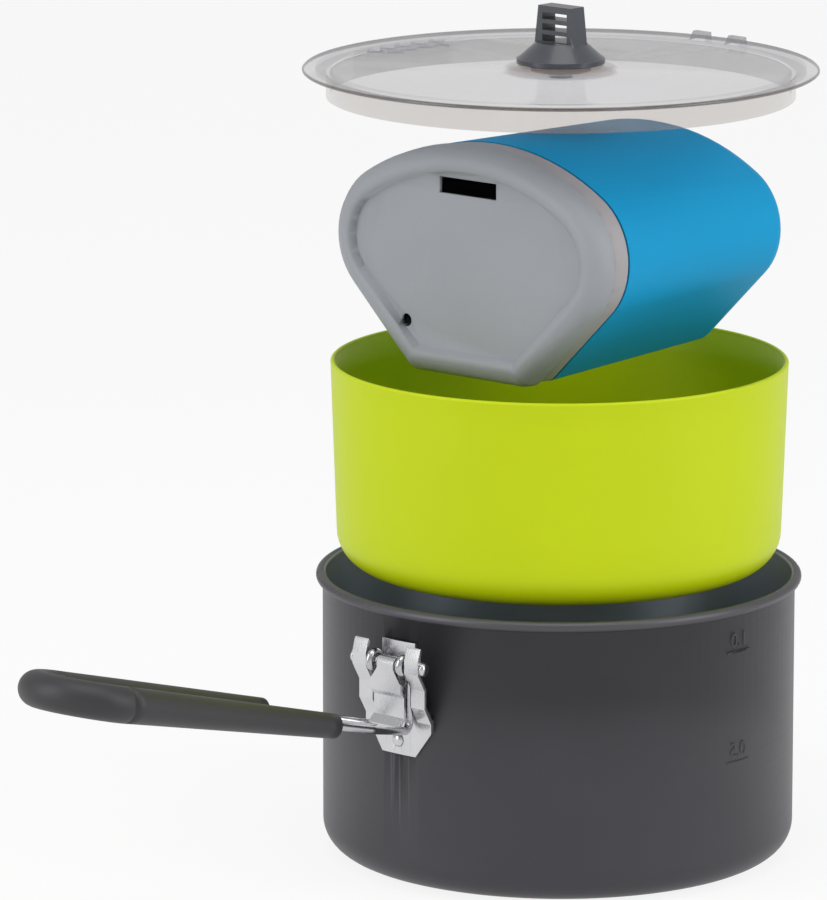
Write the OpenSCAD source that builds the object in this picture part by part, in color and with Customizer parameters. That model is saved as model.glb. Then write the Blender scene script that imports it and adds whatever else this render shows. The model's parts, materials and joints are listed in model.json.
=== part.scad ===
// Nesting camp cook set: a pot with a folding wire handle, a bowl, an insulated mug with
// a sip lid, and a clear strainer lid, drawn as they lift out of each other.
// Origin: centre of the pot's underside. +Z up, the handle points along -X. Millimetres.

/* [Pot] */
// Outer diameter of the pot wall
pot_d = 143; // [120:1:180]
// Height of the pot from its base to the top of the rim
pot_h = 86.4; // [80:0.2:120]
// Wall and floor thickness of the pot
pot_wall = 1; // [0.8:0.1:1.5]
// Outer radius of the corner between wall and floor
pot_corner_r = 9.5; // [5:0.5:14]
// Radius of the rolled bead at the rim
bead_r = 1.6; // [1.2:0.1:2.2]

/* [Bowl] */
// Gap between the bowl's rim and the inside of the pot
bowl_gap = 1.5; // [1:0.1:4]
// Height of the bowl
bowl_h = 63; // [50:1:75]
// Wall thickness of the bowl
bowl_wall = 1.5; // [1.2:0.1:3]
// Outer radius of the bowl's lower corner
bowl_corner_r = 11; // [6:0.5:14]
// How much narrower the bowl's radius is at its base
bowl_draft = 1.8; // [0:0.1:3]

/* [Mug] */
// Width of the mug across its flattened section
mug_w = 104; // [86:1:104]
// Height of the mug as it lies on its flat side
mug_h = 70; // [60:0.5:71]
// Length of the mug from the lid's face to its base
mug_len = 93; // [70:1:93]
// Radius of the rounded flanks
mug_side_r = 22.5; // [18:0.5:26]
// Radius of the two corners beside the flat side
mug_corner_r = 5; // [2:0.5:8]
// Height of the widest line above the flat side
mug_side_z = 39; // [34:0.1:42]
// How far the section steps in from rim to base, all round
mug_taper = 2.5; // [2.5:0.1:4]
// Wall thickness of the cup
cup_wall = 1.8; // [1.2:0.1:3]
// Thickness of the insulating sleeve
sleeve_t = 1.6; // [1:0.1:3]
// Thickness of the mug lid's rim
mug_lid_t = 7.5; // [5:0.5:10]
// Width of the cup's bare collar between the lid and the sleeve
collar_w = 7.5; // [4:0.5:12]
// Turn of the mug about the vertical
mug_yaw = 1; // [-20:1:20]

/* [Lid] */
// How far the lid's flange overhangs the pot wall
flange_over = 5.8; // [4:0.2:9]
// Thickness of the lid
lid_t = 1.3; // [1:0.1:2]
// Depth of the skirt that drops into the pot
skirt_h = 7.4; // [5:0.2:10]
// Gap between the skirt and the inside of the pot
skirt_gap = 0.3; // [0.3:0.1:1]
// Depth of the panel below the flange
panel_drop = 0.4; // [0.2:0.1:1.2]
// Diameter of the strainer holes
strainer_d = 5.2; // [3:0.2:6]
// Holes in the outer strainer row, with one fewer in the inner row
strainer_n = 5; // [3:1:7]
// Diameter of the knob's round base
knob_d = 26.5; // [20:0.5:32]
// Height of the knob above the lid's boss
knob_h = 17; // [15:0.5:22]

/* [Handle] */
// Diameter of the handle wire
wire_d = 2.5; // [2:0.1:3]
// Distance between the two arms of the handle
arm_gap = 29; // [24:1:36]
// Length of the handle from the pot wall to its tip
handle_len = 151; // [120:1:170]
// Upward slope of the handle when it is locked open
handle_slope = 14.5; // [5:0.5:20]
// Diameter of the hinge pin
pin_d = 2; // [1.6:0.1:3]
// Depth of the hinge pin's axis below the pot's rim
pin_drop = 15.8; // [14:0.2:20]
// Thickness of the bracket and leaf sheet
sheet_t = 1; // [0.8:0.1:1.2]

/* [Spacing] */
// Gap between the pot's rim and the base of the lifted bowl
bowl_apart = 1.7; // [0.5:0.1:25]
// How far the lifted mug's flat side is above the bowl's rim
mug_apart = -0.1; // [-2:0.1:20]
// Gap between the lifted mug and the lid flange's underside
lid_apart = 17.6; // [12:0.1:40]

/* [Hidden] */
$fn = 96;
eps = 0.01;

// Pot and bowl radii
pot_r = pot_d / 2;
pot_in = pot_r - pot_wall;
bead_mid = pot_in + bead_r - 0.2;
bowl_r = pot_in - bowl_gap;

// Places of the pieces that lift out
bowl_z = pot_h + bowl_apart;
mug_z = bowl_z + bowl_h + mug_apart;
lid_z = mug_z + mug_h + lid_apart;

// Mug section: a flat side, two slanted flanks, two round sides and a crowned top
flank = 45;
side_x = mug_w / 2 - mug_side_r;
crown = (mug_h - mug_side_r) - mug_side_z;
top_off = (crown * crown + side_x * side_x) / (2 * crown);
top_r = mug_side_r + top_off;
top_z = mug_h - top_r;
top_a = atan2(mug_side_z - top_z, side_x);
base_round = 6;
mug_back = 1.5;
cup_in = sleeve_t + 0.4;
cup_front = mug_lid_t + 0.1;

// Lid radii and heights, from the underside of the flange
skirt_r = pot_in - skirt_gap;
flange_r = pot_r + flange_over;
panel_top = lid_t - panel_drop;
step_out = skirt_r + 3;
step_in = skirt_r - 1.9;
boss_r1 = 17.5;
boss_r2 = 13;
boss_h = 1.6;
boss_top = panel_top + boss_h;
screw_r = 2;
strainer_pitch = strainer_d + 1.5;
strainer_row = skirt_r - 4.6;
strainer_step = 5.6;
nub_r = skirt_r - 0.6;
nub_turn = -3;
strainer_turn = 88;
nub_gap = 14.5;

// Handle: axis of the hinge, run of the legs and arms
running = 0.05;
pin_n = 4.8;
pin_z = pot_h - pin_drop;
pin_r = pin_d / 2;
wire_r = wire_d / 2;
eye_r = pin_r + running + wire_r;
leg_u = 5.9;
leg_n = pin_n - eye_r;
leg_drop = 20.4;
bend_r = 3;
arm_z = pin_z - leg_drop;
arm_u = arm_gap / 2;
eye_turn = 250;
splay = 18;
splay_r = 8;
bend_rise = asin(cos(splay) * sin(handle_slope));
bend_yaw = atan2(sin(splay), cos(splay) * cos(handle_slope));
bend_run = bend_r * (1 + sin(bend_rise));
bend_x = bend_run * cos(bend_yaw) / cos(handle_slope);
bend_y = leg_u + bend_run * sin(bend_yaw);
bend_z = arm_z + bend_x * sin(handle_slope) + bend_r * cos(bend_rise);
splay_l = (arm_u - bend_y - splay_r * (1 - cos(splay))) / sin(splay);
splay_x = bend_x + splay_l * cos(splay) + splay_r * sin(splay);
grip_x = 44;
grip_d = 7.4;
tip_d = 10.6;
turn_x = handle_len / cos(handle_slope) - leg_n - arm_u - tip_d / 2;

// Bracket
plate_gap = 0.05;
plate_hw = 12.4;
plate_top = pin_z + 6;
plate_bottom = plate_top - 34.6;
plate_chamfer = 5.8;
plate_rake = 8;
tab_hw = 6.5;
strip_in = 7.6;
strip_out = 13;
strip_n = 2.9;
strip_foot = plate_bottom + plate_rake + 3;
knuckle_r = pin_r + 1.1;
horn_top = pin_z + 6.2;
rivet_r = 1.4;
rivet_head_r = 2.15;
// Rivets: turn round the pot from the handle side, and height
rivets = [[0, plate_bottom + 4.4], [-2.6, pin_z - 9], [2.6, pin_z - 9]];

// Leaf
leaf_hw = 6;
tongue_hw = 3.2;
leaf_n = leg_n + wire_r + 0.35;
lip_z = arm_z + wire_r + 0.5;

function arc(c, r, a0, a1, n) =
    [for (i = [0:n]) let (a = a0 + (a1 - a0) * i / n) c + r * [cos(a), sin(a)]];

// Right half of the mug's section, set in by d all round
function right_half(d) = let (
    rc = max(mug_corner_r - d, 0.5),
    foot_x = d + rc + side_x - mug_side_z + (mug_side_r - d - rc) * sqrt(2))
    concat(arc([foot_x, d + rc], rc, -90, -flank, 5),
           arc([side_x, mug_side_z], mug_side_r - d, -flank, top_a, 16),
           arc([0, top_z], top_r - d, top_a + 3, 90, 9));

function flip(pts) = [for (i = [len(pts) - 2:-1:0]) [-pts[i][0], pts[i][1]]];

// Mug section, set in by d all round
function section(d) = concat(right_half(d), flip(right_half(d)));

// Convex body through the mug's sections: stations are [distance from the face, inset]
module loft(stations) {
    hull() for (s = stations)
        translate([s[0], 0, 0]) rotate([90, 0, 90])
            linear_extrude(eps) polygon(section(s[1]));
}

module place_mug() {
    translate([0, 0, mug_z]) rotate([0, 0, mug_yaw])
        translate([mug_back - mug_len / 2, 0, 0]) children();
}

// Shape turned about Z: a tub with a rounded lower corner
module tub(r, h, corner) {
    rotate_extrude() {
        translate([0, corner]) square([r, h - corner]);
        square([r - corner, h]);
        translate([r - corner, corner]) intersection() {
            circle(corner);
            translate([0, -corner]) square([corner, corner]);
        }
    }
}

// Places a shape drawn in [outward, sideways, up] on the pot's wall at the handle side
module on_wall() {
    translate([-pot_r, 0, 0]) rotate([0, 0, 180]) children();
}

// Places a shape at each rivet, with its Z axis pointing out of the wall
module at_rivets() {
    for (p = rivets) rotate([0, 0, p[0]]) on_wall()
        translate([0, 0, p[1]]) rotate([0, 90, 0]) children();
}

// Extrudes a side outline [outward, up] between two sideways places
module side_slab(u0, u1) {
    translate([0, u1, 0]) rotate([90, 0, 0]) linear_extrude(u1 - u0) children();
}

module pot_shell() {
    color("#4a4a4f") difference() {
        union() {
            tub(pot_r, pot_h - bead_r, pot_corner_r);
            translate([0, 0, pot_h - bead_r]) rotate_extrude()
                translate([bead_mid, 0]) circle(bead_r);
        }
        translate([0, 0, pot_wall])
            tub(pot_in, pot_h, pot_corner_r - pot_wall);
        at_rivets() translate([0, 0, -2 * pot_wall])
            cylinder(r = rivet_r + running, h = 4 * pot_wall);
    }
}

// Outline of the back plate, sideways and up
module plate_outline() {
    polygon([[-plate_hw, plate_bottom + plate_rake],
             [-plate_hw + plate_chamfer, plate_bottom],
             [plate_hw - plate_chamfer, plate_bottom],
             [plate_hw, plate_bottom + plate_rake],
             [plate_hw, strip_foot + 1], [strip_in, strip_foot + 1],
             [strip_in, pin_z - 5], [tab_hw, pin_z - 3], [tab_hw, plate_top],
             [-tab_hw, plate_top], [-tab_hw, pin_z - 3], [-strip_in, pin_z - 5],
             [-strip_in, strip_foot + 1], [-plate_hw, strip_foot + 1]]);
}

// Side outline of one raised strip, with the horn and the knuckle round the pin
module strip_outline() {
    front = pin_n + knuckle_r;
    polygon([[-0.3, strip_foot - 3], [sheet_t, strip_foot - 3], [sheet_t, strip_foot],
             [strip_n + sheet_t, strip_foot + 5], [strip_n + sheet_t, pin_z - 7],
             [front, pin_z - 1.8], [front, pin_z + 2], [front - 1, horn_top - 0.6],
             [front - 1.4, horn_top], [front - 2, horn_top - 0.8],
             [front - sheet_t, pin_z + 1.5], [front - sheet_t, pin_z - 1.2],
             [strip_n, pin_z - 6.4], [strip_n, strip_foot + 5.6], [-0.3, strip_foot + 0.6]]);
    translate([pin_n, pin_z]) circle(knuckle_r);
}

module bracket_plate() {
    color("#c4c4c8") difference() {
        union() {
            intersection() {
                difference() {
                    cylinder(r = pot_r + plate_gap + sheet_t, h = pot_h, $fn = 200);
                    translate([0, 0, -eps])
                        cylinder(r = pot_r + plate_gap, h = pot_h + 1, $fn = 200);
                }
                translate([-2 * pot_r, 0, 0]) rotate([90, 0, 90])
                    linear_extrude(2 * pot_r) plate_outline();
            }
            difference() {
                on_wall() {
                    side_slab(strip_in, strip_out) strip_outline();
                    side_slab(-strip_out, -strip_in) strip_outline();
                }
                cylinder(r = pot_r + plate_gap, h = 2 * pot_h, $fn = 200);
            }
        }
        on_wall() translate([pin_n, 0, pin_z]) rotate([90, 0, 0])
            cylinder(r = pin_r + running, h = 4 * strip_out, center = true);
        at_rivets() translate([0, 0, -1]) cylinder(r = rivet_r + running, h = 4 * sheet_t);
    }
}

module bracket_rivets() {
    face = plate_gap + sheet_t + running;
    color("#d0d0d4") at_rivets() {
        translate([0, 0, -pot_wall - 0.6])
            cylinder(r = rivet_r, h = pot_wall + 0.6 + face + 0.2);
        translate([0, 0, -pot_wall - 0.8]) cylinder(r = rivet_head_r, h = 0.75);
        translate([0, 0, face]) cylinder(r1 = rivet_head_r, r2 = rivet_head_r - 0.9, h = 0.9);
    }
}

module hinge_pin() {
    head = 1;
    color("#b0b0b4") on_wall() translate([pin_n, 0, pin_z]) rotate([90, 0, 0]) {
        cylinder(r = pin_r, h = 2 * strip_out + 0.4, center = true);
        for (s = [-1, 1]) translate([0, 0, s * (strip_out + 0.1 + head / 2)])
            cylinder(r = pin_r + 0.9, h = head, center = true);
    }
}

// Runs a shape drawn in the plane of the arms, whose X axis climbs the handle's slope
module on_arms() {
    translate([leg_n, 0, arm_z]) rotate([0, -handle_slope, 0]) children();
}

// Straight stretches and round end of the arms, at radius r
module arm_run(r) {
    for (s = [-1, 1])
        translate([splay_x, s * arm_u, 0]) rotate([0, 90, 0])
            cylinder(r = r, h = turn_x - splay_x, $fn = 48);
    half_ring(r);
}

module half_ring(r) {
    translate([turn_x, 0, 0]) rotate([0, 0, -90]) rotate_extrude(angle = 180)
        translate([arm_u, 0]) circle(r = r, $fn = 48);
}

// A point in the plane of the arms, in the frame of the handle side
function slope_point(x, y) =
    [leg_n + x * cos(handle_slope), y, arm_z + x * sin(handle_slope)];

// One side of the wire from its eye to the tip: eye, leg, bend, splay and round end
function wire_side(s) = concat(
    [for (a = [180 - eye_turn:12.5:180])
        [pin_n + eye_r * cos(a), s * leg_u, pin_z + eye_r * sin(a)]],
    [for (k = [0:6]) let (a = 180 + k * (90 + bend_rise) / 6, x = bend_r * (1 + cos(a)))
        [leg_n + x * cos(bend_yaw), s * (leg_u + x * sin(bend_yaw)), bend_z + bend_r * sin(a)]],
    [for (k = [0:3]) let (a = 90 + splay * (1 - k / 3))
        slope_point(splay_x + splay_r * cos(a), s * (arm_u - splay_r + splay_r * sin(a)))],
    [for (k = [0:9]) slope_point(turn_x + arm_u * sin(10 * k), s * arm_u * cos(10 * k))]);

function unit(v) = v / norm(v);

// Directions of travel along a list of points
function headings(path) = let (last = len(path) - 1) [for (i = [0:last]) unit(
    (i < last ? unit(path[i + 1] - path[i]) : [0, 0, 0]) +
    (i > 0 ? unit(path[i] - path[i - 1]) : [0, 0, 0]))];

// Sideways direction of the bar, square to its heading, the same way round all along it
function sideways(t, on_slope, s) = on_slope
    ? unit(cross([-sin(handle_slope), 0, cos(handle_slope)], t))
    : unit([0, s, 0] - s * t[1] * t);

// Round bar along a list of points that runs down one side and back up the other
module bar(path, legs) {
    n = 12;
    last = len(path) - 1;
    turns = headings(path);
    points = [for (i = [0:last]) let (t = turns[i], s = i < last / 2 ? 1 : -1,
        u = sideways(t, min(i, last - i) >= legs, s), v = cross(t, u))
        for (k = [0:n - 1]) path[i] + wire_r * (u * cos(360 * k / n) + v * sin(360 * k / n))];
    sides = [for (i = [0:last - 1], k = [0:n - 1]) let (a = i * n + k, b = i * n + (k + 1) % n)
        each [[a, a + n, b], [b, a + n, b + n]]];
    ends = [[for (k = [0:n - 1]) k], [for (k = [n - 1:-1:0]) last * n + k]];
    polyhedron(points, concat(sides, ends));
}

module handle_wire() {
    right = wire_side(1);
    left = wire_side(-1);
    color("#b8b8bc") on_wall() bar(
        concat(right, [for (i = [len(left) - 2:-1:0]) left[i]]), 28);
}

module handle_grip() {
    color("#3c3a3e") on_wall() on_arms() difference() {
        union() {
            for (s = [-1, 1]) translate([grip_x, s * arm_u, 0]) rotate([0, 90, 0])
                cylinder(d1 = grip_d, d2 = tip_d, h = turn_x - grip_x);
            half_ring(tip_d / 2);
        }
        arm_run(wire_r + running);
    }
}

module leaf_outline() {
    front = pin_n + knuckle_r;
    polygon([[leaf_n, lip_z + 2.2], [leaf_n, pin_z - 9.4], [front - sheet_t, pin_z - 7.6],
             [front - sheet_t, pin_z], [front, pin_z], [front, pin_z - 8.4],
             [leaf_n + sheet_t, pin_z - 10], [leaf_n + sheet_t, lip_z + 2.6],
             [leaf_n + sheet_t + 2.6, lip_z + 0.4], [leaf_n + sheet_t + 2.1, lip_z - 0.2]]);
}

module latch_leaf() {
    color("#cfcfd3") on_wall() difference() {
        union() {
            intersection() {
                side_slab(-leaf_hw, leaf_hw) leaf_outline();
                rotate([90, 0, 90]) linear_extrude(4 * pin_n)
                    polygon([[-leaf_hw, 0], [leaf_hw, 0], [leaf_hw, pin_z - 5.5],
                             [tongue_hw, pin_z - 1.5], [tongue_hw, pot_h],
                             [-tongue_hw, pot_h], [-tongue_hw, pin_z - 1.5],
                             [-leaf_hw, pin_z - 5.5]]);
            }
            translate([pin_n, 0, pin_z]) rotate([90, 0, 0])
                cylinder(r = knuckle_r, h = 2 * tongue_hw, center = true);
        }
        translate([pin_n, 0, pin_z]) rotate([90, 0, 0])
            cylinder(r = pin_r + running, h = 4 * leaf_hw, center = true);
    }
}

module latch_spring() {
    coil_wire = 0.4;
    color("#8a8a90") on_wall() for (s = [-1, 1], i = [0:1])
        translate([pin_n, s * (tongue_hw + 0.3 + i * coil_wire), pin_z])
            rotate([90, 0, 0]) rotate_extrude()
                translate([pin_r + 0.15 + coil_wire / 2, 0]) circle(d = coil_wire, $fn = 24);
}

// Half section of the bowl, inset by d
function bowl_half(d) = let (
    low_r = bowl_r - bowl_draft - d,
    c = bowl_corner_r - d)
    concat([[0, d]], arc([low_r - c, bowl_corner_r], c, -90, 0, 10),
           [[bowl_r - d, bowl_h + (d > 0 ? 1 : 0)], [0, bowl_h + (d > 0 ? 1 : 0)]]);

module bowl() {
    lip = bowl_wall / 2;
    color("#bcce05") translate([0, 0, bowl_z]) {
        difference() {
            rotate_extrude() polygon(bowl_half(0));
            rotate_extrude() polygon(bowl_half(bowl_wall));
            translate([0, 0, bowl_h - lip]) cylinder(r = pot_r, h = 2 * lip);
        }
        translate([0, 0, bowl_h - lip]) rotate_extrude()
            translate([bowl_r - lip, 0]) circle(lip);
    }
}

module mug_cup() {
    band = mug_lid_t + collar_w;
    wall_in = cup_in + cup_wall;
    floor_x = mug_len - sleeve_t - cup_wall;
    color("#a09b9e") place_mug() difference() {
        union() {
            loft([[cup_front, 0.8], [band - 0.5, 0.6], [band, 1]]);
            loft([[band - 1, cup_in], [mug_len - base_round - sleeve_t, cup_in + mug_taper],
                  [mug_len - sleeve_t - 0.1, cup_in + mug_taper + base_round - 1]]);
        }
        loft([[cup_front - 1, wall_in], [floor_x - base_round, wall_in + mug_taper],
              [floor_x, wall_in + mug_taper + base_round - 1]]);
    }
}

module mug_sleeve() {
    band = mug_lid_t + collar_w + 0.1;
    color("#098fc0") place_mug() difference() {
        loft([[band, 0.4], [mug_len - base_round, mug_taper],
              [mug_len - 0.5 * base_round, mug_taper + 0.13 * base_round],
              [mug_len - 0.13 * base_round, mug_taper + 0.5 * base_round],
              [mug_len - eps, mug_taper + base_round]]);
        loft([[band - 1, cup_in - 0.1], [mug_len - base_round - sleeve_t, cup_in + mug_taper - 0.1],
              [mug_len - sleeve_t, cup_in + mug_taper + base_round - 1.1]]);
    }
}

module mug_lid() {
    recess = 2.4;
    plug_in = cup_in + cup_wall + 0.4;
    plug_len = 5;
    color("#9ca0a5") place_mug() difference() {
        union() {
            loft([[0, 4.5], [1.2, 2], [3.8, 0.3], [mug_lid_t, 0]]);
            loft([[mug_lid_t - 1, plug_in], [mug_lid_t + plug_len, plug_in + 0.4]]);
        }
        loft([[-1, 7], [recess, 8]]);
        loft([[recess + 2, plug_in + 1.8], [mug_lid_t + plug_len + 1, plug_in + 2.2]]);
        translate([-1, -11, mug_h - 15]) cube([mug_lid_t + 2, 22, 5]);
        translate([-1, 24, 15]) rotate([0, 90, 0]) cylinder(d = 4, h = mug_lid_t + 2);
    }
}

// Half section of the clear lid, from the flange's underside
module lid_half() {
    polygon([[screw_r + 0.2, boss_top - lid_t], [boss_r2 - 0.8, boss_top - lid_t],
             [boss_r1 - 0.6, panel_top - lid_t], [skirt_r - lid_t, panel_top - lid_t],
             [skirt_r - lid_t, -skirt_h], [skirt_r, -skirt_h], [skirt_r, 0],
             [flange_r - 0.5, 0], [flange_r, 0.4], [flange_r, lid_t - 0.5],
             [flange_r - 0.6, lid_t], [step_out, lid_t], [step_in, panel_top],
             [boss_r1, panel_top], [boss_r2, boss_top], [screw_r + 0.2, boss_top]]);
}

module strainer_holes() {
    for (row = [0:1]) {
        r = strainer_row - row * strainer_step;
        n = strainer_n - row;
        for (i = [0:n - 1]) rotate([0, 0, strainer_turn + (i - (n - 1) / 2) * strainer_pitch / r * 180 / PI])
            translate([r, 0, -5]) cylinder(d = strainer_d, h = 10, $fn = 32);
    }
}

module lid_shell() {
    nub_l = 6;
    nub_h = 3;
    color([0.82, 0.8, 0.78, 0.5]) translate([0, 0, lid_z]) {
        difference() {
            rotate_extrude() lid_half();
            strainer_holes();
        }
        for (s = [-1, 1]) rotate([0, 0, nub_turn]) translate([nub_r, s * nub_gap / 2, panel_top - 0.3])
            rotate([90, 0, 0]) linear_extrude(nub_l, center = true)
                polygon([[-2.5, 0], [1.6, 0], [1.2, nub_h], [-0.4, nub_h]]);
    }
}

module lid_knob() {
    base_h = 1.4;
    cone_h = 6.2;
    fin_w = 14;
    fin_t = 6;
    slot_w = 9.6;
    slot_h = 2;
    slot_pitch = 3.3;
    color("#50555c") translate([0, 0, lid_z + boss_top]) difference() {
        union() {
            cylinder(d = knob_d, h = base_h);
            translate([0, 0, base_h])
                cylinder(d1 = knob_d - 0.6, d2 = 15, h = cone_h - base_h);
            translate([0, 0, cone_h - 1]) rotate([90, 0, 90])
                linear_extrude(fin_t, center = true)
                    polygon([[-fin_w / 2 - 0.8, 0], [fin_w / 2 + 0.8, 0],
                             [fin_w / 2 - 0.6, knob_h - cone_h + 1],
                             [-fin_w / 2 + 0.6, knob_h - cone_h + 1]]);
        }
        for (i = [0:2])
            translate([0, 0, knob_h - 3 - i * slot_pitch]) cube([30, slot_w, slot_h], center = true);
        translate([0, 0, -1]) cylinder(r = screw_r - 0.3 + running, h = 7.2);
    }
}

module knob_screw() {
    washer_t = 1;
    color("#9a9a9e") translate([0, 0, lid_z + boss_top]) {
        translate([0, 0, -lid_t - washer_t - 0.1]) cylinder(r = screw_r - 0.3, h = lid_t + washer_t + 6);
        translate([0, 0, -lid_t - washer_t - 2.1]) cylinder(r = 3.6, h = 2);
    }
}

module knob_washer() {
    color("#8d8478") translate([0, 0, lid_z + boss_top - lid_t - 1.05]) difference() {
        cylinder(r = 9, h = 1);
        translate([0, 0, -1]) cylinder(r = screw_r, h = 3);
    }
}

pot_shell();
bracket_plate();
bracket_rivets();
hinge_pin();
handle_wire();
handle_grip();
latch_leaf();
latch_spring();
bowl();
mug_cup();
mug_sleeve();
mug_lid();
lid_shell();
lid_knob();
knob_screw();
knob_washer();
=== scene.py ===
import json
import math

import bmesh
import bpy
from mathutils import Matrix, Vector


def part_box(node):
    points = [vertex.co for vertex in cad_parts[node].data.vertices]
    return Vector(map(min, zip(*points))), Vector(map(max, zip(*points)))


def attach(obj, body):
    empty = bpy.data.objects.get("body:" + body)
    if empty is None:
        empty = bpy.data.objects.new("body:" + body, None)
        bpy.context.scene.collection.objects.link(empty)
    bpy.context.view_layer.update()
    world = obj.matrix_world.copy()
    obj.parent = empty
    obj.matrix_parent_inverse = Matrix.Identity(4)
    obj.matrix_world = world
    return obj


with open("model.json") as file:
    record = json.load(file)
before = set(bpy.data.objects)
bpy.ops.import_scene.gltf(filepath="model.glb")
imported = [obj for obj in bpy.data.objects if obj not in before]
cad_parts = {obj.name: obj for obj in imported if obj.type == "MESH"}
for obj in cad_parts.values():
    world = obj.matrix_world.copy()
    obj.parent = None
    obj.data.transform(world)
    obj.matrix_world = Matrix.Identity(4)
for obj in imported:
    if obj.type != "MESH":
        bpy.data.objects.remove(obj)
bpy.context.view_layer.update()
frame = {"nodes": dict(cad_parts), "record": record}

MM = 0.001
CAMERA_TURN = math.radians(-49.2)

POT_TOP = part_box("pot_shell")[1][2]
POT_WALL_RADIUS = 71.5 * MM
POT_CORNER = 9.5 * MM
SKIRT_DEPTH = 7.4 * MM
LID_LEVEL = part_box("lid_shell")[0][2] + SKIRT_DEPTH
STRAINER = (2.2 * MM, 62.8 * MM)


def tone(red, green, blue):
    """A colour given as it looks on a screen, 0 to 255, as shader numbers."""
    return tuple(
        (c / 255 / 12.92) if c <= 10 else ((c / 255 + 0.055) / 1.055) ** 2.4
        for c in (red, green, blue)
    ) + (1.0,)


class Level:
    """An output in a finish. Sums written with it add Math nodes."""

    def __init__(self, finish, socket):
        self.finish, self.socket = finish, socket

    def maths(self, operation, left, right=0.0):
        return self.finish.maths(operation, left, right)

    def __add__(self, other):
        return self.maths("ADD", self, other)

    def __sub__(self, other):
        return self.maths("SUBTRACT", self, other)

    def __rsub__(self, other):
        return self.maths("SUBTRACT", other, self)

    def __mul__(self, other):
        return self.maths("MULTIPLY", self, other)

    def __gt__(self, other):
        return self.maths("GREATER_THAN", self, other)

    def __lt__(self, other):
        return self.maths("LESS_THAN", self, other)

    __radd__ = __add__
    __rmul__ = __mul__


class Finish:
    """A procedural material, built node by node."""

    def __init__(self, name):
        self.material = bpy.data.materials.new(name)
        self.material.use_nodes = True
        self.tree = self.material.node_tree
        self.tree.nodes.clear()

    def node(self, kind, settings=None, inputs=None, out=0):
        """Adds a node, sets it up, fills its sockets and returns one of its outputs."""
        made = self.tree.nodes.new(kind)
        for key, value in (settings or {}).items():
            setattr(made, key, value)
        for key, value in (inputs or {}).items():
            if isinstance(value, Level):
                self.tree.links.new(value.socket, made.inputs[key])
            else:
                made.inputs[key].default_value = value
        return Level(self, made.outputs[out]) if len(made.outputs) else None

    def maths(self, operation, left, right=0.0):
        return self.node("ShaderNodeMath", {"operation": operation}, {0: left, 1: right})

    def place(self):
        """Where a point of the surface is, in metres."""
        return self.node("ShaderNodeTexCoord", out="Object")

    def axis(self, place, name):
        return self.node("ShaderNodeSeparateXYZ", {}, {0: place}, out=name)

    def distance(self, place, centre=(0, 0), flat=(1, 1, 0)):
        """Distance from the upright line through centre."""
        moved = self.node("ShaderNodeVectorMath", {"operation": "SUBTRACT"},
                          {0: place, 1: (centre[0], centre[1], 0)})
        level = self.node("ShaderNodeVectorMath", {"operation": "MULTIPLY"},
                          {0: moved, 1: flat})
        return self.node("ShaderNodeVectorMath", {"operation": "LENGTH"},
                         {0: level}, out="Value")

    def grain(self, place, size, detail=2.0, stretch=(1, 1, 1), roughness=0.5):
        """Noise whose blotches are about size metres across, wider along stretch."""
        scaled = self.node("ShaderNodeVectorMath", {"operation": "MULTIPLY"},
                           {0: place, 1: tuple(1 / size / s for s in stretch)})
        return self.node("ShaderNodeTexNoise", {},
                         {"Vector": scaled, "Scale": 1.0, "Detail": detail,
                          "Roughness": roughness}, out="Fac")

    def mix(self, share, first, second):
        return self.node("ShaderNodeMix", {"data_type": "RGBA"},
                         {0: share, 6: first, 7: second}, out=2)

    def ramp(self, value, low, high):
        """0 below low, 1 above high and smooth between."""
        return self.node("ShaderNodeMapRange", {"interpolation_type": "SMOOTHSTEP"},
                         {"Value": value, "From Min": low, "From Max": high})

    def bump(self, height, depth, strength=1.0):
        return self.node("ShaderNodeBump", {},
                         {"Height": height, "Distance": depth, "Strength": strength})

    def shade(self, **sockets):
        """The surface itself. Socket names are given with underscores."""
        shader = self.node("ShaderNodeBsdfPrincipled", {},
                           {k.replace("_", " "): v for k, v in sockets.items()})
        self.node("ShaderNodeOutputMaterial", {}, {"Surface": shader})
        return self.material


def anodised():
    f = Finish("hard_anodised")
    place = f.place()
    out = f.distance(place)
    high = f.axis(place, "Z")
    over = f.maths("MAXIMUM", out - (POT_WALL_RADIUS - POT_CORNER), 0.0)
    under = f.maths("MINIMUM", high - POT_CORNER, 0.0)
    reach = f.maths("SQRT", over * over + under * under)
    inside = f.maths("MAXIMUM", (out < POT_WALL_RADIUS - 0.45 * MM) * (high > POT_CORNER),
                     (high < POT_CORNER) * (reach < POT_CORNER - 0.5 * MM))
    # painted highlight: the top millimetres of the rim bead are mixed towards a lighter grey where
    # light catches the rim
    rim_highlight = f.ramp(high, POT_TOP - 3.4 * MM, POT_TOP - 1.6 * MM)
    spun = f.grain(place, 2.5 * MM, 3.0, (14, 14, 0.05))
    cloudy = f.grain(place, 26 * MM, 3.0)
    outer = f.mix(cloudy, tone(66, 65, 70), tone(72, 71, 76))
    inner = f.mix(cloudy, tone(140, 149, 162), tone(150, 159, 172))
    wall = f.mix(inside, outer, inner)
    colour = f.mix(rim_highlight * 0.3, wall, tone(110, 111, 115))
    return f.shade(
        Base_Color=colour, Metallic=0.55,
        Roughness=0.44 - inside * 0.08 + (spun - 0.5) * 0.12,
        Normal=f.bump(spun, 0.012 * MM, 0.5))


def steel(name, colour, rough, stretch):
    f = Finish(name)
    place = f.place()
    brushed = f.grain(place, 0.5 * MM, 3.0, stretch)
    smeared = f.grain(place, 9 * MM, 3.0)
    return f.shade(
        Base_Color=f.mix(smeared, tone(*colour), tone(*(c - 16 for c in colour))),
        Metallic=1.0, Roughness=rough + (brushed - 0.5) * 0.14 + (smeared - 0.5) * 0.1,
        Normal=f.bump(brushed, 0.006 * MM, 0.6))


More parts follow.
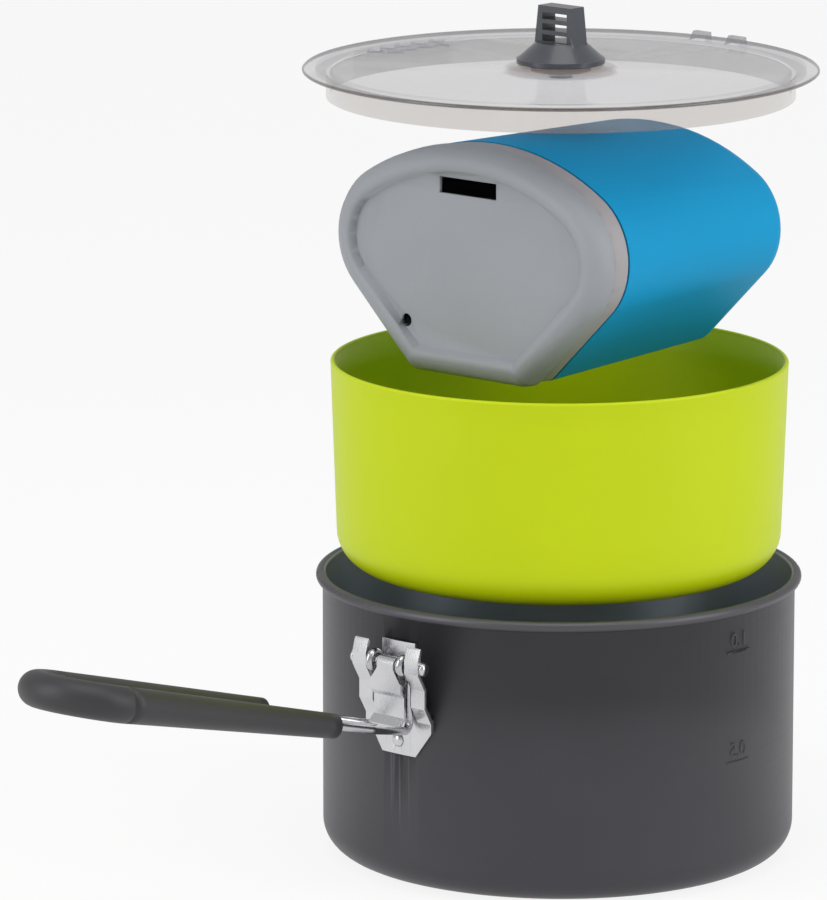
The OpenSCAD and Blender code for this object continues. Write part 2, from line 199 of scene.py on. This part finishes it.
def silicone():
    f = Finish("grip_silicone")
    place = f.place()
    sandy = f.grain(place, 0.35 * MM, 2.0)
    dusty = f.grain(place, 14 * MM, 4.0)
    return f.shade(
        Base_Color=f.mix(dusty, tone(44, 43, 46), tone(52, 51, 54)),
        Roughness=0.5 + (dusty - 0.5) * 0.12, Normal=f.bump(sandy, 0.02 * MM, 0.5))


def plastic(name, low, high, rough, size, depth, cloud=30 * MM, **more):
    """A moulded plastic with fine grain and a faint drift in colour."""
    f = Finish(name)
    place = f.place()
    fine = f.grain(place, size, 3.0, roughness=0.6)
    drift = f.grain(place, cloud, 3.0)
    return f.shade(
        Base_Color=f.mix(drift, tone(*low), tone(*high)),
        Roughness=rough + (fine - 0.5) * 0.1, Normal=f.bump(fine, depth, 0.6), **more)


def clear_lid():
    f = Finish("smoke_clear")
    place = f.place()
    out = f.distance(place)
    level = f.axis(place, "Z") - LID_LEVEL
    drift = f.grain(place, 20 * MM, 2.0)
    skirt = 1.0 - f.ramp(level, -0.8 * MM, -0.3 * MM)
    ring_in = f.ramp(out, 67.9 * MM, 68.6 * MM)
    ring_out = f.ramp(out, 73.0 * MM, 73.7 * MM)
    ring = ring_in * (1.0 - ring_out) * (1.0 - skirt)
    edge = f.ramp(out, 76.6 * MM, 77.1 * MM)
    boss = 1.0 - f.ramp(out, 15.5 * MM, 17.8 * MM)
    top = f.mix(drift, tone(168, 166, 172), tone(176, 174, 179))
    ringed = f.mix(ring, top, tone(146, 144, 150))
    sided = f.mix(skirt, ringed, tone(166, 150, 134))
    bossed = f.mix(boss * 0.7, sided, tone(120, 104, 88))
    colour = f.mix(edge, bossed, tone(64, 53, 47))
    holes = f.distance(place, STRAINER, (0.55, 1, 0)) < 12 * MM
    alpha = (0.34 + ring * 0.16 - skirt * 0.08 + edge * 0.42
             + boss * 0.3 + holes * 0.06)
    return f.shade(Base_Color=colour, Roughness=0.1 + drift * 0.04, Alpha=alpha,
                   Coat_Weight=0.3)


LOOKS = {
    "hard_anodised": anodised(),
    "bracket_steel": steel("bracket_steel", (214, 214, 217), 0.27, (1, 1, 9)),
    "wire_steel": steel("wire_steel", (196, 196, 200), 0.2, (9, 1, 1)),
    "grip_silicone": silicone(),
    "lime_plastic": plastic("lime_plastic", (190, 208, 0), (195, 213, 2), 0.45,
                            0.6 * MM, 0.008 * MM, Specular_IOR_Level=0.25),
    "collar_grey": plastic("collar_grey", (158, 154, 157), (164, 160, 163), 0.5,
                           0.5 * MM, 0.02 * MM),
    "sleeve_blue": plastic("sleeve_blue", (2, 146, 198), (5, 152, 204), 0.6,
                           0.5 * MM, 0.03 * MM, Specular_IOR_Level=0.2),
    "mug_lid_grey": plastic("mug_lid_grey", (146, 150, 156), (153, 157, 162), 0.5,
                            0.55 * MM, 0.09 * MM),
    "smoke_clear": clear_lid(),
    "knob_grey": plastic("knob_grey", (58, 61, 67), (68, 72, 79), 0.3,
                         0.9 * MM, 0.06 * MM, 8 * MM, Coat_Weight=0.25),
    "washer_brown": plastic("washer_brown", (112, 98, 84), (124, 110, 95), 0.45,
                            0.5 * MM, 0.02 * MM),
}


SHARP_ANGLE = 28


def smooth(obj, angle, edge, weighted):
    """Joins split corners, rounds the sharp edges a little and shades the rest smooth."""
    weld = obj.modifiers.new("weld", "WELD")
    weld.merge_threshold = 2e-6
    if edge:
        bevel = obj.modifiers.new("edge", "BEVEL")
        bevel.width, bevel.segments, bevel.angle_limit = edge, 2, math.radians(angle)
        bevel.limit_method = "ANGLE"
        bevel.use_clamp_overlap = True
    for face in obj.data.polygons:
        face.use_smooth = True
    obj.data.set_sharp_from_angle(angle=math.radians(angle))
    if weighted:
        normals = obj.modifiers.new("normals", "WEIGHTED_NORMAL")
        normals.keep_sharp, normals.weight = True, 50


EDGES = {"bracket_plate": 0.18 * MM, "latch_leaf": 0.18 * MM, "lid_knob": 0.35 * MM}
ANGLES = {"mug_lid": 40, "handle_wire": 50}
FLAT_PANELS = ("mug_lid", "mug_cup", "mug_sleeve", "lid_knob",
               "bracket_plate", "latch_leaf")
slot_of = {part["node"]: part["material_slot"] for part in frame["record"]["subparts"]}
for node, obj in frame["nodes"].items():
    obj.data.materials.clear()
    obj.data.materials.append(LOOKS[slot_of[node]])
    smooth(obj, ANGLES.get(node, SHARP_ANGLE), EDGES.get(node, 0.0),
           node in FLAT_PANELS)


def marks(text, height, outward):
    """Raised numbers and a line under them on the pot's wall, and their back on the other side."""
    curve = bpy.data.curves.new("mark_" + text, "FONT")
    curve.body, curve.size, curve.extrude = text, 6.2 * MM, 0.14 * MM
    curve.align_x, curve.resolution_u = "CENTER", 3
    made = bpy.data.objects.new("mark", curve)
    bpy.context.scene.collection.objects.link(made)
    bpy.context.view_layer.update()
    mesh = bpy.data.meshes.new_from_object(
        made.evaluated_get(bpy.context.evaluated_depsgraph_get()))
    bpy.data.objects.remove(made)
    shape = bmesh.new()
    shape.from_mesh(mesh)
    bmesh.ops.subdivide_edges(
        shape, edges=[e for e in shape.edges if e.calc_length() > 2 * MM], cuts=2)
    bar = bmesh.ops.create_cube(shape, size=1, matrix=Matrix.Translation(
        (0, -1.6 * MM, 0)) @ Matrix.Diagonal((10 * MM, 0.5 * MM, 0.28 * MM, 1)))
    bmesh.ops.subdivide_edges(shape, edges=list({
        e for v in bar["verts"] for e in v.link_edges}), cuts=6)
    base = POT_WALL_RADIUS - (0.06 if outward else 0.94) * MM
    for v in shape.verts:
        out = base + v.co.z * (1 if outward else -1)
        turn = math.radians(-90.6) - v.co.x / POT_WALL_RADIUS
        v.co = Vector((out * math.cos(turn), out * math.sin(turn), height + v.co.y))
    bmesh.ops.recalc_face_normals(shape, faces=shape.faces)
    shape.to_mesh(mesh)
    shape.free()
    side = "outer" if outward else "inner"
    piece = bpy.data.objects.new(f"litre_mark_{text.replace('.', '_')}_{side}", mesh)
    bpy.context.scene.collection.objects.link(piece)
    piece.data.materials.clear()
    piece.data.materials.append(LOOKS["hard_anodised"])
    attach(piece, "pot")


for text, height in (("0.5", 40.0 * MM), ("1.0", 73.6 * MM)):
    marks(text, height, True)
    marks(text, height, False)


# camera
turned = Matrix.Rotation(CAMERA_TURN, 4, "Z")
YAW, DIP = math.radians(-1.1947), math.radians(11.957)
forward = turned.to_3x3() @ Vector(
    (math.sin(YAW) * math.cos(DIP), math.cos(YAW) * math.cos(DIP), -math.sin(DIP)))
camera = bpy.data.objects.new("camera", bpy.data.cameras.new("camera"))
bpy.context.scene.collection.objects.link(camera)
camera.location = turned @ Vector((0, -2.10805, 0.56914))
camera.rotation_mode = "QUATERNION"
camera.rotation_quaternion = forward.to_track_quat("-Z", "Y")
camera.data.sensor_width = 36
camera.data.lens = 285.46
camera.data.clip_start, camera.data.clip_end = 0.05, 20
bpy.context.scene.camera = camera


# floor, world and lamps
def stage_finish():
    f = Finish("pale_floor")
    seen = f.node("ShaderNodeLightPath", out="Is Camera Ray")
    glossy = f.node("ShaderNodeLightPath", out="Is Glossy Ray")
    through = f.node("ShaderNodeLightPath", out="Is Transmission Ray")
    paint = f.node("ShaderNodeBsdfDiffuse", {}, {"Color": (0.82, 0.82, 0.82, 1)})
    glow = f.node("ShaderNodeEmission", {}, {"Color": (1, 1, 1, 1), "Strength": 1.0})
    share = (seen + glossy + through) * 0.86
    mixed = f.node("ShaderNodeMixShader", {}, {0: share, 1: paint, 2: glow})
    f.node("ShaderNodeOutputMaterial", {}, {"Surface": mixed})
    return f.material


mesh = bpy.data.meshes.new("floor")
mesh.from_pydata([(-8, -8, 0), (8, -8, 0), (8, 8, 0), (-8, 8, 0)], [], [(0, 1, 2, 3)])
floor = bpy.data.objects.new("floor", mesh)
bpy.context.scene.collection.objects.link(floor)
floor.location.z = -0.0004
floor.data.materials.append(stage_finish())

world = bpy.data.worlds.new("studio")
bpy.context.scene.world = world
world.use_nodes = True
nodes, links = world.node_tree.nodes, world.node_tree.links
nodes.clear()
path = nodes.new("ShaderNodeLightPath")
dim = nodes.new("ShaderNodeBackground")
dim.inputs["Color"].default_value = (1, 1, 1, 1)
dim.inputs["Strength"].default_value = 0.56
white = nodes.new("ShaderNodeBackground")
white.inputs["Color"].default_value = (1, 1, 1, 1)
white.inputs["Strength"].default_value = 1.0
blend = nodes.new("ShaderNodeMixShader")
output = nodes.new("ShaderNodeOutputWorld")
links.new(path.outputs["Is Camera Ray"], blend.inputs[0])
links.new(dim.outputs[0], blend.inputs[1])
links.new(white.outputs[0], blend.inputs[2])
links.new(blend.outputs[0], output.inputs["Surface"])


def lamp(name, azimuth, height, distance, size, power):
    """A soft lamp aimed at the middle of the stack; azimuth is round from the camera."""
    light = bpy.data.lights.new(name, "AREA")
    light.shape, light.energy = "RECTANGLE", power
    light.size, light.size_y = size
    obj = bpy.data.objects.new(name, light)
    bpy.context.scene.collection.objects.link(obj)
    a = math.radians(azimuth) + CAMERA_TURN
    place = Vector((math.sin(a) * distance, -math.cos(a) * distance, height))
    obj.location = place
    obj.rotation_mode = "QUATERNION"
    obj.rotation_quaternion = (Vector((0, 0, 0.12)) - place).to_track_quat("-Z", "Y")


lamp("left_panel", -62, 0.55, 1.1, (0.5, 1.0), 5.0)
lamp("right_panel", 66, 0.55, 1.1, (0.5, 1.0), 5.0)
lamp("top_panel", 10, 1.3, 0.35, (0.9, 0.9), 5.0)

bpy.context.scene.view_settings.view_transform = "Standard"
